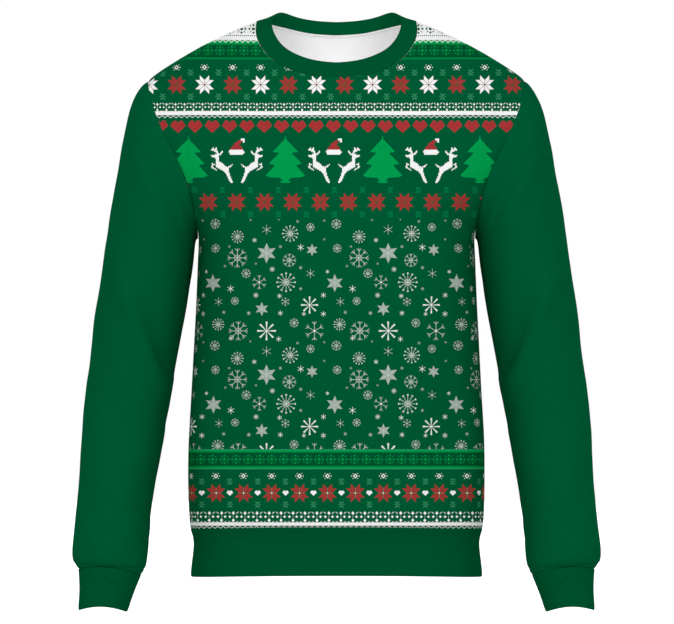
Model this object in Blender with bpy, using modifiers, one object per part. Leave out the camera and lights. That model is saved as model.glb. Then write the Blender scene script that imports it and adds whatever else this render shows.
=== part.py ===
"""Christmas sweater: a crew-neck pullover, hollow and open, in the form that it takes when it is worn.

Eight pieces, as they are cut and sewn: front, back, two sleeves, a neckband, a hem rib and two
cuffs. Each is a wall of cloth whose outer skin is worked out from stations up the body or down the
sleeve. The origin is the centre of the neck opening at the height of the shoulder seams' inner
ends. +Z is up, the front faces -Y and the wearer's left is +X.
"""

import math

import bmesh
import bpy
import numpy as np

MM = 0.001

# Driving dimensions, in metres
FLEECE_WALL = 2.0 * MM  # jersey with a brushed fleece back
RIB_WALL = 3.0 * MM  # rib knit, folded double
SEAM_GAP = 0.3 * MM  # between two sewn pieces
TIP_GAP = 0.3 * MM  # how much further back a panel stands at the shoulder tip, where three pieces meet
WELD = 0.05 * MM  # points closer than this are one point
BODY_ROUNDNESS = 2.4  # exponent of the body's rounded sections
SHOULDER_ROUNDNESS = 2.0  # the same at the shoulders, where they are ellipses
SHOULDER_ROUND_Z = -60.0 * MM
HEM_SEAM_Z = -634.0 * MM
HEM_LIFT = 3.4 * MM  # how much higher the hem is at the middle than at the sides
ARMPIT_Z = -275.0 * MM
SHOULDER_TIP_Z = -73.0 * MM
CAP_LENGTH = 190.0 * MM  # length of sleeve over which the armhole's form fades out
BAND_START = 1.3  # how strongly the neckband runs on in the panels' direction
SLEEVE_START = 0.8  # the same for the top of the sleeve; it fades out towards the armpit
START_LENGTH = 60.0 * MM  # length of sleeve over which it does so

# How finely the pieces are divided
COLUMNS = 12  # from the middle of a panel to its edge
ARMHOLE_STEPS = 12  # from the armpit to the shoulder tip, on each panel
SIDE_STEPS = 12
SHOULDER_STEPS = 6
SLEEVE_STEPS = 19  # between the cap's rows and those beside the cuff
SQUEEZE = 0.65  # how much closer together a panel's columns are beside the armhole
CORNER_POWER = 1.2  # how soon that fades out towards the middle, near the armhole's ends
CORNER_LIFT = 9.0 * MM  # how far a row rises beside the shoulder tip, or dips beside the armpit
CORNER_REACH = 40.0 * MM  # distance up the seam over which that fades out
SUPPORT = 3.0 * MM  # distance of the line of points that lies beside each seam
FINE_STEPS = 600  # steps of a curve while its length is worked out
LEAST_CUT = 0.00005  # share of a row that an armhole is taken to cut off where there is none
CALM = 30.0 * MM  # width of cloth beside a seam over which folds die away
CAP_ROWS = np.array([0, 4, 12, 24, 40, 60]) * MM  # distances from the shoulder tip
CUFF_ROWS = np.array([0, 3, 8, 14, 22, 32]) * MM  # distances from the cuff seam
ARMHOLE_ROWS = np.s_[SIDE_STEPS + 1 : SIDE_STEPS + ARMHOLE_STEPS + 2]  # rows of a panel there
TIP_ROW = ARMHOLE_ROWS.stop - 1
HEM_RIB_ROWS = np.array([61, 39, 16, 3, 0]) * MM  # distances below the hem seam
BAND_ROWS = (0, 0.1, 0.45, 1)  # shares of the way up the neckband


def table(names, *rows):
    """Columns by name, in metres, from rows in millimetres."""
    return dict(zip(names.split(), np.array(rows, float).T * MM))


# Sections of the body. Above the armpit the width is that of the rounded form which the armholes
# cut into, and above the shoulder tip it is the line of the shoulder seam.
BODY = table(
    "z width front back",
    (-695, 183.0, 114, 104),
    (-686, 182.0, 113.5, 103),
    (-672, 180.4, 113, 101.5),
    (-661, 178.6, 112, 100.5),
    (-650, 177.4, 112, 100),
    (-640, 181.0, 116, 104),
    (-634, 182.8, 118.2, 105.7),
    (-628, 184.1, 120, 107),
    (-616, 184.9, 121.7, 108.2),
    (-560, 185.6, 120, 103),
    (-450, 180.8, 122, 98),
    (-350, 175.6, 124, 104),
    (-300, 173.6, 123, 109),
    (-275, 172.6, 122, 112),
    (-245, 186.5, 119, 114),
    (-216, 208.0, 115.5, 115.5),
    (-175, 243.0, 108.5, 115),
    (-150, 256.5, 103, 112.8),
    (-125, 261.0, 96.3, 109),
    (-106, 258.7, 90, 105),
    (-89, 251.4, 84, 100),
    (-73, 236.0, 78.5, 96),
    (-61, 219.0, 74, 92),
    (-31, 169.0, 60, 79),
    (-9, 122.0, 50, 66.5),
    (0, 100.3, 46, 61),
)

# Armhole seam, as seen from the front
ARMHOLE = table(
    "z x",
    (-275, 172.6),
    (-266, 172.9),
    (-245, 176.5),
    (-216, 182.0),
    (-201, 186.5),
    (-175, 198.0),
    (-137, 217.0),
    (-106, 229.3),
    (-89, 234.6),
    (-73, 236.0),
)

# Neck seam from the middle of each panel to the shoulder, as seen from the front
NECK_FRONT = table(
    "x z",
    (0, -71.3),
    (44.4, -67.9),
    (68, -58.3),
    (84.4, -47.1),
    (96.9, -28.8),
    (101.5, -10.4),
    (101.6, -4.6),
    (101.0, -1.6),
    (100.3, 0),
)
NECK_BACK = table("x z", (0, -15.5), (31, -13.6), (57, -8.0), (80, -2.6), (93, -0.6), (100.3, 0))

# Upper edge of the neckband, from its middle to the shoulder
BAND_FRONT = table(
    "x y z",
    (0, -66, -52.4),
    (25, -64.5, -50),
    (48.9, -57.5, -42.3),
    (64.9, -47, -32.8),
    (76, -31, -16.8),
    (79.8, -15, -4),
    (80, 0, 4),
)
BAND_BACK = table(
    "x y z",
    (0, 75, 0.4),
    (18.6, 73, 1.3),
    (41, 66, 4.3),
    (56, 55.5, 8.6),
    (63, 47, 11.6),
    (67.6, 39.5, 13.1),
    (71.6, 31, 13.2),
    (75.6, 20.5, 10.6),
    (78.8, 9.5, 6.8),
    (80, 0, 4),
)

# Sections of the left sleeve and its cuff: the inner and outer end of each, as seen from the
# front, half of its depth from front to back, the place of its middle, and how much higher it is
# at the front and the back than at its ends
SLEEVE = table(
    "in_x in_z out_x out_z depth y lift",
    (172.6, -275, 236, -73, 70, 0, 0),
    (174.2, -275.6, 240.6, -76.8, 70.5, 0, 0),
    (175.6, -277.6, 247.3, -85.5, 71, 0, 0),
    (176.2, -281, 257.5, -106, 72, 0, 0),
    (177, -287.5, 267.5, -148.7, 73, 0.5, 0),
    (178, -296.5, 276.4, -198.7, 73, 1, 0),
    (179.2, -307, 285.2, -248.7, 72.5, 1.5, 0),
    (180.6, -317.5, 291.9, -298.8, 72, 2, 0),
    (187.5, -361, 298.8, -342.5, 69.5, 3, 0),
    (194.4, -398.8, 303.5, -381.3, 66.5, 4, 0),
    (200.3, -438.8, 308.8, -420, 63.5, 3, 0),
    (208, -477.5, 314.6, -461, 61.5, 0, 0),
    (215.6, -523.8, 318.8, -511, 58.5, -7, 0),
    (223.8, -566, 321.6, -556, 55.5, -15, 1),
    (229.4, -602.5, 324, -595, 53, -23, 2),
    (233, -640, 327.5, -633.8, 51, -30, 3),
    (235.6, -671, 330.6, -664, 48.5, -36, 5),
    (238, -682, 329.4, -674, 45.5, -37.5, 6),
    (242.5, -691, 322.6, -683.5, 40.5, -38.5, 6.5),
    (248, -702, 319.8, -696, 37, -39.5, 6.5),
    (253, -716, 320.6, -711, 36, -41, 6.5),
    (260, -738, 322.5, -735.6, 36, -43.5, 6.5),
)
CUFF_SEAM_ROW = 18  # row of the table at the cuff seam

# The largest folds, by their two ends as seen from the front: a ridge has a height above 0 and a
# trough one below it. Those of the sleeve are mirrored on the other one.
SLEEVE_FRONT_FOLDS = table(
    "x1 z1 x2 z2 width height",
    (276, -300, 216, -462, 15, 4.5),
    (246, -352, 204, -430, 13, -6.0),
    (228, -330, 196, -372, 13, 3.0),
    (236, -140, 210, -255, 15, 4.0),
    (212, -150, 194, -230, 11, -3.0),
    (300, -440, 262, -520, 16, -4.0),
    (232, -540, 290, -600, 15, 3.0),
    (318, -560, 280, -640, 13, -3.0),
)
SLEEVE_BACK_FOLDS = table(
    "x1 z1 x2 z2 width height",
    (292, -330, 222, -400, 15, -5.0),
    (298, -372, 226, -436, 16, 5.0),
    (300, -420, 236, -476, 14, -5.0),
    (240, -150, 208, -250, 16, 4.0),
    (316, -560, 262, -625, 15, -3.5),
)
FRONT_FOLDS = table(
    "x1 z1 x2 z2 width height",
    (176, -262, 118, -222, 15, -3.5),
    (160, -300, 132, -560, 22, -3.5),
    (96, -420, 84, -640, 24, 3.0),
    (170, -470, 150, -632, 18, 3.0),
)
BACK_FOLDS = table(
    "x1 z1 x2 z2 width height",
    (176, -262, 112, -205, 16, -4.0),
    (164, -300, 120, -420, 20, -3.5),
    (140, -360, 96, -600, 24, 4.0),
    (40, -380, 52, -610, 26, -4.0),
)


def along(at, places, values):
    """Smooth curve through the stations, with no overshoot between them."""
    steps = np.diff(values) / np.diff(places)
    rising = steps[:-1] * steps[1:] > 0
    total = np.where(rising, steps[:-1] + steps[1:], 1.0)
    inner = np.where(rising, 2 * steps[:-1] * steps[1:] / total, 0.0)
    slopes = np.concatenate([steps[:1], inner, steps[-1:]])
    at = np.asarray(at, float)
    k = np.clip(np.searchsorted(places, at, side="right") - 1, 0, len(places) - 2)
    width = places[k + 1] - places[k]
    t = (at - places[k]) / width
    rise = (1 + 2 * t) * (1 - t) ** 2 * values[k] + t * t * (3 - 2 * t) * values[k + 1]
    return rise + width * (t * (1 - t) ** 2 * slopes[k] - t * t * (1 - t) * slopes[k + 1])


def lengths(points):
    """Distance along a line of points, at each of them."""
    return np.concatenate([[0.0], np.cumsum(np.linalg.norm(np.diff(points, axis=0), axis=1))])


def unit(vectors):
    """The same vectors, one metre long."""
    return vectors / np.linalg.norm(vectors, axis=-1, keepdims=True)


def eased(t):
    """Rise from 0 to 1 that starts and ends level."""
    t = np.clip(t, 0, 1)
    return t * t * (3 - 2 * t)


def roundness(z):
    """Exponent of the body's section at a height."""
    up = eased((z - ARMPIT_Z) / (SHOULDER_ROUND_Z - ARMPIT_Z))
    return BODY_ROUNDNESS + up * (SHOULDER_ROUNDNESS - BODY_ROUNDNESS)


def body_point(turn, z, panel):
    """Outer skin of the body at a turn from the middle of a panel (0) to its side (90 degrees)."""
    width = along(z, BODY["z"], BODY["width"])
    depth = along(z, BODY["z"], BODY[panel])
    facing = -1.0 if panel == "front" else 1.0
    power = 2 / roundness(z)
    x = width * np.sin(turn) ** power
    y = facing * depth * np.maximum(np.cos(turn), 0.0) ** power
    return np.stack([x, y, z + 0 * x], axis=-1)


def turn_at(x, z):
    """Turn at which the body's outer skin has this x."""
    share = np.clip(x / along(z, BODY["z"], BODY["width"]), 0.0, 1.0)
    return np.arcsin(share ** (roundness(z) / 2))


def armhole_heights(panel):
    """Heights that divide one panel's side of the armhole seam into equal steps, upwards."""
    swing = np.linspace(0, math.pi, FINE_STEPS)
    middle = (SHOULDER_TIP_Z + ARMPIT_Z) / 2
    z = middle - (SHOULDER_TIP_Z - ARMPIT_Z) / 2 * np.cos(swing)
    seam = body_point(turn_at(along(z, ARMHOLE["z"], ARMHOLE["x"]), z), z, panel)
    far = lengths(seam)
    return np.interp(np.linspace(0, far[-1], ARMHOLE_STEPS + 1), far, z)


def edge_turn(z):
    """Turn of the panel's edge: the side seam, the armhole or the shoulder seam."""
    seam = turn_at(along(z, ARMHOLE["z"], ARMHOLE["x"]), z)
    return np.where((z > ARMPIT_Z) & (z < SHOULDER_TIP_Z), seam, math.pi / 2)


def armhole_loop(front, back):
    """Armhole seam round from the shoulder tip by the front, and where the panels point there."""
    sides = []
    for points in front, back:
        onward = -into_cloth(points, np.s_[:, -1], np.s_[:, -2])
        sides.append((points[ARMHOLE_ROWS, -1], onward[ARMHOLE_ROWS]))
    (front_seam, front_way), (back_seam, back_way) = sides
    loop = np.concatenate([front_seam[::-1], back_seam[1:]])
    way = np.concatenate([front_way[::-1], back_way[1:]])
    way[0] = way[-1] = unit(front[TIP_ROW, -1] - front[TIP_ROW + 1, -1])
    return loop, way


def column_turns():
    """Turns that divide the body's section at the hem seam into equal widths of cloth."""
    turn = np.linspace(0, math.pi / 2, FINE_STEPS)
    far = lengths(body_point(turn, np.full(FINE_STEPS, HEM_SEAM_Z), "front"))
    marks = np.append(np.linspace(0, far[-1], COLUMNS), far[-1] - SUPPORT)
    return np.interp(np.sort(marks), far, turn)


def edge_heights(panel):
    """Heights of the rows at the panel's edge, from the hem seam up to the neck."""
    side = np.linspace(HEM_SEAM_Z, ARMPIT_Z, SIDE_STEPS + 1)[:-1]
    shoulder = np.linspace(SHOULDER_TIP_Z, 0, SHOULDER_STEPS + 1)[1:-1]
    beside_neck = SUPPORT / 2
    return np.concatenate(
        [side[:1], [HEM_SEAM_Z + SUPPORT], side[1:], armhole_heights(panel), shoulder, [-beside_neck, 0]]
    )


def hem_lift(turns):
    """How much higher the hem lines are at these turns than at the side."""
    return HEM_LIFT * np.cos(turns) ** 2


def panel_points(panel, neck, folds):
    """Half of the front or the back: rows from the hem seam up, columns from the middle out."""
    turns = column_turns()
    top = along(turns, turn_at(neck["x"], neck["z"]), neck["z"])
    bottom = HEM_SEAM_Z + hem_lift(turns)
    out = turns / (math.pi / 2)
    corners = np.array([SHOULDER_TIP_Z, ARMPIT_Z])
    rows = []
    for z_edge in edge_heights(panel):
        up = 1 - z_edge / HEM_SEAM_Z
        short = max(1 - edge_turn(z_edge) / (math.pi / 2), LEAST_CUT)
        squeezed = short * out ** min(SQUEEZE / short - 1, CORNER_POWER)
        near_tip, near_armpit = np.exp(-(((z_edge - corners) / CORNER_REACH) ** 2))
        lift = CORNER_LIFT * (near_tip - near_armpit) * np.sin(math.pi * out**4)
        rows.append(body_point(turns * (1 - squeezed), (1 - up) * bottom + up * top + lift, panel))
    points = np.array(rows)
    outward = normals(points) * (1 if panel == "front" else -1)
    calm = beside_seams(points[:, ::-1])[:, ::-1]
    return points + (fold_heights(points, folds) * calm)[..., None] * outward


def hem_rib_points():
    """Half of the hem rib, from the middle of the front round to the middle of the back."""
    turns = column_turns()
    rows = []
    for below in HEM_RIB_ROWS:
        z = HEM_SEAM_Z - below + hem_lift(turns)
        front, back = (body_point(turns, z, panel) for panel in ("front", "back"))
        rows.append(np.concatenate([front, back[-2::-1]]))
    return np.array(rows)


def edge_of_band(edge, seam):
    """Upper edge of the neckband, shared out as the seam below it is."""
    line = np.stack([edge["x"], edge["y"], edge["z"]], axis=-1)
    far, share = lengths(line), lengths(seam)
    at = share / share[-1] * far[-1]
    return np.stack([along(at, far, line[:, axis]) for axis in range(3)], axis=-1)


def neckband_points(front, back):
    """Half of the neckband, from the neck seam up, round from the front to the back."""
    kept = np.delete(np.arange(COLUMNS + 1), COLUMNS - 1)
    halves = []
    for points, edge in (front, BAND_FRONT), (back, BAND_BACK):
        seam, onward = points[-1][kept], -into_cloth(points, np.s_[-1], np.s_[-2])[kept]
        halves.append(np.stack([seam, edge_of_band(edge, seam) - seam, onward]))
    seam, rise, start = np.concatenate([halves[0], halves[1][:, -2::-1]], axis=1)
    start *= BAND_START * np.linalg.norm(rise, axis=-1, keepdims=True)
    rows = []
    for t in BAND_ROWS:
        rows.append(seam + eased(t) * rise + t * (1 - t) ** 2 * start - t * t * (1 - t) * rise)
    return np.array(rows)


def sleeve_rings(at):
    """Rings of the left sleeve at these distances down its outer side from the shoulder tip."""
    far = lengths(np.stack([SLEEVE["out_x"], SLEEVE["out_z"]], axis=-1))
    row = {name: along(at, far, column)[:, None] for name, column in SLEEVE.items()}
    turn = np.linspace(0, 2 * math.pi, 2 * ARMHOLE_STEPS + 1)
    across, over = np.cos(turn), np.sin(turn)
    x = (row["out_x"] + row["in_x"]) / 2 + across * (row["out_x"] - row["in_x"]) / 2
    y = row["y"] - over * row["depth"]
    z = (row["out_z"] + row["in_z"]) / 2 + across * (row["out_z"] - row["in_z"]) / 2
    return np.stack([x, y, z + row["lift"] * over**2], axis=-1)


def sleeve_points(front, back):
    """Left sleeve from the armhole seam, whose form fades out below it, down to the cuff seam."""
    far = lengths(np.stack([SLEEVE["out_x"], SLEEVE["out_z"]], axis=-1))[CUFF_SEAM_ROW]
    steps = np.linspace(CAP_ROWS[-1], far - CUFF_ROWS[-1], SLEEVE_STEPS + 1)[1:-1]
    at = np.concatenate([CAP_ROWS, steps, far - CUFF_ROWS[::-1]])
    points = sleeve_rings(at)
    loop, onward = armhole_loop(front, back)
    left = np.clip(1 - at / CAP_LENGTH, 0, 1) ** 2
    points = points + left[:, None, None] * (loop - points[0])
    start = (points[1] - points[0]) / (at[1] - at[0])
    strength = SLEEVE_START * np.cos(np.linspace(0, 2 * math.pi, len(loop)) / 2)[:, None] ** 2
    turned = strength * (onward * np.linalg.norm(start, axis=-1, keepdims=True) - start)
    points += (at * np.clip(1 - at / START_LENGTH, 0, 1) ** 2)[:, None, None] * turned
    outward = normals(points, closed=True)
    towards = np.clip(0.5 + 1.2 * outward[..., 1], 0, 1)
    rise = (1 - towards) * fold_heights(points, SLEEVE_FRONT_FOLDS)
    rise += towards * fold_heights(points, SLEEVE_BACK_FOLDS)
    calm = beside_seams(points, columns=False)
    return points + (rise * calm)[..., None] * outward


def cuff_points():
    """Left cuff, from its seam down."""
    far = lengths(np.stack([SLEEVE["out_x"], SLEEVE["out_z"]], axis=-1))
    seam, end = far[CUFF_SEAM_ROW], far[-1]
    return sleeve_rings(np.array([seam, seam + SUPPORT, *np.linspace(seam, end, 5)[2:]]))


def normals(points, closed=False):
    """Direction of a grid's outer side at each of its points; a closed one ends where it starts."""
    if closed:
        wide = np.concatenate([points[:, -2:-1], points, points[:, 1:2]], axis=1)
        across = wide[:, 2:] - wide[:, :-2]
    else:
        across = np.gradient(points, axis=1)
    return unit(np.cross(across, np.gradient(points, axis=0)))


def beside_seams(points, columns=True):
    """Share of a fold's height that is left near the first and last row, and the first column."""
    steps = np.linalg.norm(np.diff(points, axis=0), axis=-1)
    down = np.concatenate([0 * steps[:1], np.cumsum(steps, axis=0)])
    near = np.minimum(down, down[-1] - down)
    if columns:
        steps = np.linalg.norm(np.diff(points, axis=1), axis=-1)
        near = np.minimum(near, np.concatenate([0 * steps[:, :1], np.cumsum(steps, axis=1)], axis=1))
    return eased((near - SUPPORT) / CALM)


def fold_heights(points, folds):
    """Height of the folds at each point of a grid, by its place as seen from the front."""
    place = points[..., [0, 2]]
    rise = np.zeros(place.shape[:2])
    for x1, z1, x2, z2, width, height in zip(*folds.values()):
        start, run = np.array([x1, z1]), np.array([x2 - x1, z2 - z1])
        t = np.clip((place - start) @ run / (run @ run), 0, 1)
        off = np.linalg.norm(place - start - t[..., None] * run, axis=-1)
        rise += height * (0.55 + 0.45 * np.sin(math.pi * t)) * np.exp(-((off / width) ** 2))
    return rise


def into_cloth(points, side, inside, closed=False):
    """Directions within the cloth, square to one of the grid's sides, from it inwards."""
    line = points[side]
    inward = np.cross(normals(points, closed)[side], unit(np.gradient(line, axis=0)))
    inward *= np.sign(np.sum(inward * (points[inside] - line), axis=-1))[:, None]
    inward[np.abs(line[:, 0]) < WELD, 0] = 0.0
    return inward


def drawn_back(points, first_row=False, last_row=False, last_column=False, closed=False):
    """The grid with its seams' sides drawn back by half a gap within the cloth."""
    moved = points.copy()
    sides = [
        (first_row, np.s_[0], np.s_[1]),
        (last_row, np.s_[-1], np.s_[-2]),
        (last_column, np.s_[:, -1], np.s_[:, -2]),
    ]
    for sewn, side, inside in sides:
        if sewn:
            moved[side] += SEAM_GAP / 2 * into_cloth(points, side, inside, closed)
    if closed:
        moved[:, -1] = moved[:, 0]
    return moved


def cloth(name, points, wall, material, group, halved=False):
    """One cut piece: a flat grid of cloth, bent to its outer skin, with its wall put on behind."""
    rows, columns = points.shape[:2]
    work = bmesh.new()
    bmesh.ops.create_grid(work, x_segments=columns - 1, y_segments=rows - 1, size=0.5)
    for vert in work.verts:
        column = round((vert.co.x + 0.5) * (columns - 1))
        row = round((vert.co.y + 0.5) * (rows - 1))
        vert.co = points[row, column]
        if halved and abs(vert.co.x) < WELD:
            vert.co.x = 0.0
    bmesh.ops.remove_doubles(work, verts=work.verts, dist=WELD)
    mesh = bpy.data.meshes.new(name)
    work.to_mesh(mesh)
    work.free()
    mesh.materials.append(material)
    mesh.shade_smooth()
    piece = bpy.data.objects.new(name, mesh)
    group.objects.link(piece)
    if halved:
        mirror = piece.modifiers.new("Other half", "MIRROR")
        mirror.merge_threshold = WELD
    solid = piece.modifiers.new("Wall", "SOLIDIFY")
    solid.thickness = wall
    solid.offset = -1


def fabric(name, colour, roughness):
    """Plain knitted cloth."""
    material = bpy.data.materials.new(name)
    material.use_nodes = True
    shader = material.node_tree.nodes["Principled BSDF"]
    shader.inputs["Base Color"].default_value = (*colour, 1.0)
    shader.inputs["Roughness"].default_value = roughness
    shader.inputs["Metallic"].default_value = 0.0
    return material


def build():
    """Make the eight pieces."""
    for old in list(bpy.data.objects):
        bpy.data.objects.remove(old, do_unlink=True)
    group = bpy.data.collections.new("christmas_sweater")
    bpy.context.scene.collection.children.link(group)
    printed = fabric("printed_fleece", (0.0, 0.093, 0.032), 0.9)
    plain = fabric("plain_fleece", (0.0, 0.083, 0.027), 0.9)
    rib = fabric("rib_knit", (0.0, 0.076, 0.025), 0.92)

    panels = {}
    for panel, neck, folds in ("front", NECK_FRONT, FRONT_FOLDS), ("back", NECK_BACK, BACK_FOLDS):
        panels[panel] = panel_points(panel, neck, folds)
        points = drawn_back(panels[panel], first_row=True, last_row=True, last_column=True)
        points[TIP_ROW, -1, 1] += -TIP_GAP if panel == "front" else TIP_GAP
        outward = points if panel == "front" else points[:, ::-1]
        cloth(panel, outward, FLEECE_WALL, printed, group, halved=True)
    band = drawn_back(neckband_points(panels["front"], panels["back"]), first_row=True)
    cloth("neckband", band, RIB_WALL, rib, group, halved=True)
    cloth("hem_rib", drawn_back(hem_rib_points(), last_row=True), RIB_WALL, rib, group, halved=True)

    sleeve = sleeve_points(panels["front"], panels["back"])
    sleeve = drawn_back(sleeve, first_row=True, last_row=True, closed=True)
    cuff = drawn_back(cuff_points(), first_row=True, closed=True)
    for side, turned in ("left", 1), ("right", -1):
        across = np.array([turned, 1, 1])
        cloth(f"sleeve_{side}", (sleeve * across)[:, ::turned], FLEECE_WALL, plain, group)
        cloth(f"cuff_{side}", (cuff * across)[:, ::turned], RIB_WALL, rib, group)


build()
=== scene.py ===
"""Dresses the christmas sweater's solid pieces as sewn cloth.

Front and back are printed fleece jersey, the sleeves plain fleece jersey, and the neckband, hem and
cuffs rib knit folded double. Each cloth is a thin shell on the form of its solid. Meshes are in
metres. Each cloth has a UV map in millimetres, across and down the cloth, which the print and the
knit read.
"""

import math

import bmesh
import bpy
import numpy as np
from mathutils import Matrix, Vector, kdtree, noise


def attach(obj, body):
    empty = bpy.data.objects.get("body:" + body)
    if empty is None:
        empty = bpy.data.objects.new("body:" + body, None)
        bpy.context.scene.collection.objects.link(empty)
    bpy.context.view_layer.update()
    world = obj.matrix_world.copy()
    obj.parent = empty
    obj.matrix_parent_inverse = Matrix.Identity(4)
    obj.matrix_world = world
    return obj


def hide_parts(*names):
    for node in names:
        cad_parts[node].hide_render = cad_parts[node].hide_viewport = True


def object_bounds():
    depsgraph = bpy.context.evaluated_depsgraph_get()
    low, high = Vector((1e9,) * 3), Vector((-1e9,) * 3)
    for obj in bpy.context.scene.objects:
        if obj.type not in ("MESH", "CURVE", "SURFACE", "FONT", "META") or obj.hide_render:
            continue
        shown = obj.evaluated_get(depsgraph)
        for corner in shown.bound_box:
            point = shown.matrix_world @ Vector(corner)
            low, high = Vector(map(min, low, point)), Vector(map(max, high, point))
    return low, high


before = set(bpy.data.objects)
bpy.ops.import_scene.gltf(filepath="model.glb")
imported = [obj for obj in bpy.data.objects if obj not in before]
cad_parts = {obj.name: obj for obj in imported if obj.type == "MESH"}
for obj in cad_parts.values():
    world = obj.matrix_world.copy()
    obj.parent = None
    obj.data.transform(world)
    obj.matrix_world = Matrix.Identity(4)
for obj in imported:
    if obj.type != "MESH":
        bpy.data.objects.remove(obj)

CAD_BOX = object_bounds()

bl_info = {
    "name": "Christmas Sweater",
    "version": (1, 0, 0),
    "blender": (4, 5, 0),
    "location": "View3D > Sidebar > Sweater",
    "description": "Dresses the solid pieces of a printed crew-neck sweater as sewn cloth",
    "category": "Mesh",
}

MM = 0.001
UV_NAME = "cloth"


def linear(colour):
    """An sRGB hex colour as linear red, green, blue and alpha."""
    parts = [int(colour[i : i + 2], 16) / 255 for i in (1, 3, 5)]
    return (*((c / 12.92 if c <= 0.04045 else ((c + 0.055) / 1.055) ** 2.4) for c in parts), 1.0)


# ---------------- sizes and colours to change


def amount(name, description, default, low=0.0, **kind):
    """A number that the sidebar shows."""
    return bpy.props.FloatProperty(name=name, description=description, default=default, min=low, **kind)


def length(name, description, default, low=0.0):
    """A length in metres that the sidebar shows."""
    return amount(name, description, default, low, unit="LENGTH", subtype="DISTANCE")


def colour(name, description, default):
    """A colour that the sidebar shows."""
    return bpy.props.FloatVectorProperty(
        name=name, description=description, default=linear(default), size=4, min=0, max=1, subtype="COLOR"
    )


class ClothSettings(bpy.types.PropertyGroup):
    """Sizes of the cloth."""

    fleece_wall: length("Fleece thickness", "Jersey with its brushed back", 2.0 * MM)
    seam_depth: length("Seam depth", "How far the cloth sinks beside a seam", 0.6 * MM)
    seam_width: length("Seam width", "Width of the cloth that sinks beside a seam", 3.5 * MM)
    unevenness: length("Unevenness", "Height of the cloth's soft waves", 0.9 * MM)
    fineness: bpy.props.IntProperty(
        name="Fineness", description="How often each face of the solid is divided", default=2, min=0, max=3
    )
    creases: amount("Creases", "Depth of the creases, as a share", 1.0, subtype="FACTOR")


class ColourSettings(bpy.types.PropertyGroup):
    """Colours of the cloth and of its print."""

    ground: colour("Ground", "Green of the whole garment", "#005632")
    # The rib green is the ground green made darker: painted shade for the hem and cuffs, which hang low,
    # away from the light from above.
    rib: colour("Rib", "Green of the rib knit", "#004F2D")
    band: colour("Band", "Green behind the garland bands", "#004F2B")
    bright: colour("Bright green", "Trees and borders", "#02964A")
    garland: colour("Garland", "Figures of the garland bands", "#028A40")
    faint: colour("Faint green", "Small flakes between the stars", "#32865A")
    dim: colour("Dim green", "Small flakes beside the lower stars", "#037846")
    white: colour("White", "Laces, stars and deer", "#F0F0F0")
    snow: colour("Snow", "Snowflakes", "#E6EBE8")
    red: colour("Red", "Stars, hearts and caps", "#A23334")
    inside: colour("Inside", "Brushed fleece inside", "#F0F0F0")


class StageSettings(bpy.types.PropertyGroup):
    """Camera and lights."""

    camera_distance: length("Camera distance", "From the garment's middle", 12.0)
    picture_width: length("Picture width", "What the picture's width shows at the garment", 0.8425)
    camera_height: length("Camera height", "Height of the camera and of the lights' aim", -0.3637, low=-5.0)
    key_power: amount("Key light", "Power of each front light", 66.0, unit="POWER")
    neck_power: amount("Neck light", "Power of the light inside the neck", 0.105, unit="POWER")
    sky: amount("Sky", "Brightness of the light from all sides", 0.62)


# ---------------- nodes


def add(tree, kind, inputs=(), **settings):
    """Add a node with its settings, and with its inputs, by name or place, set or linked."""
    node = tree.nodes.new("ShaderNode" + kind)
    for name, value in settings.items():
        setattr(node, name, value)
    for key, value in dict(inputs).items():
        value = getattr(value, "socket", value)
        if isinstance(value, bpy.types.NodeSocket):
            tree.links.new(value, node.inputs[key])
        else:
            node.inputs[key].default_value = value
    return node


def arithmetic(operation):
    """Method of a field that adds a node of this operation."""
    return lambda field, *others: field.math(operation, *others)


class Field:
    """A number that varies over the cloth. Arithmetic on it adds nodes to its material.

    A figure of the print is such a number: millimetres inside its outline, and below 0 outside it.
    The figure that is in both of two is a & b, and the one that is in either is a | b.
    """

    def __init__(self, tree, socket):
        self.tree = tree
        self.socket = socket

    def math(self, operation, *others, clamp=False):
        values = dict(enumerate((self, *others)))
        node = add(self.tree, "Math", values, operation=operation, use_clamp=clamp)
        return Field(self.tree, node.outputs[0])

    def __rsub__(self, other):
        return self.math("MULTIPLY_ADD", -1.0, other)

    __add__ = __radd__ = arithmetic("ADD")
    __sub__ = arithmetic("SUBTRACT")
    __mul__ = __rmul__ = arithmetic("MULTIPLY")
    __truediv__ = arithmetic("DIVIDE")
    __abs__ = arithmetic("ABSOLUTE")
    __and__ = arithmetic("MINIMUM")
    __or__ = arithmetic("MAXIMUM")


def cloth_place(tree):
    """Millimetres across the cloth from its middle, and down it from the height of the neck."""
    place = add(tree, "SeparateXYZ", {0: add(tree, "UVMap", uv_map=UV_NAME).outputs[0]})
    return Field(tree, place.outputs[0]), Field(tree, place.outputs[1])


def inked(figure, soft=0.35):
    """Share of ink at each place of a figure. Its edge is this soft, as ink on pile is."""
    return figure.math("MULTIPLY_ADD", 1 / soft, 0.5, clamp=True)


def painted(below, share, ink):
    """The colour below with an ink laid over it."""
    return add(share.tree, "Mix", {0: share, 6: below, 7: ink}, data_type="RGBA").outputs[2]


# ---------------- figures of the print

# A figure's own numbers are millimetres from its middle, or shares of its size and slopes of its edges
ZIGZAG_PITCH = 6.94
ZIGZAG_MIDDLE = 0.5
TEETH_PITCH = 2.46


def nearest(u, pitch, middle):
    """Distance to the nearest of the figures that repeat across the cloth."""
    return (u - middle).math("PINGPONG", pitch / 2)


def repeated(u, pitch, middle):
    """Place within the nearest of the figures that repeat across the cloth."""
    return u.math("WRAP", middle + pitch / 2, middle - pitch / 2) - middle


def band(v, top, bottom):
    """Straight band across the cloth."""
    return (bottom - top) / 2 - abs(v - (bottom + top) / 2)


def zigzag_line(u, top, height):
    """Line of a zigzag, as its distance down the cloth."""
    return nearest(u, ZIGZAG_PITCH, ZIGZAG_MIDDLE) * (-2 * height / ZIGZAG_PITCH) + (top + height)


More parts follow.
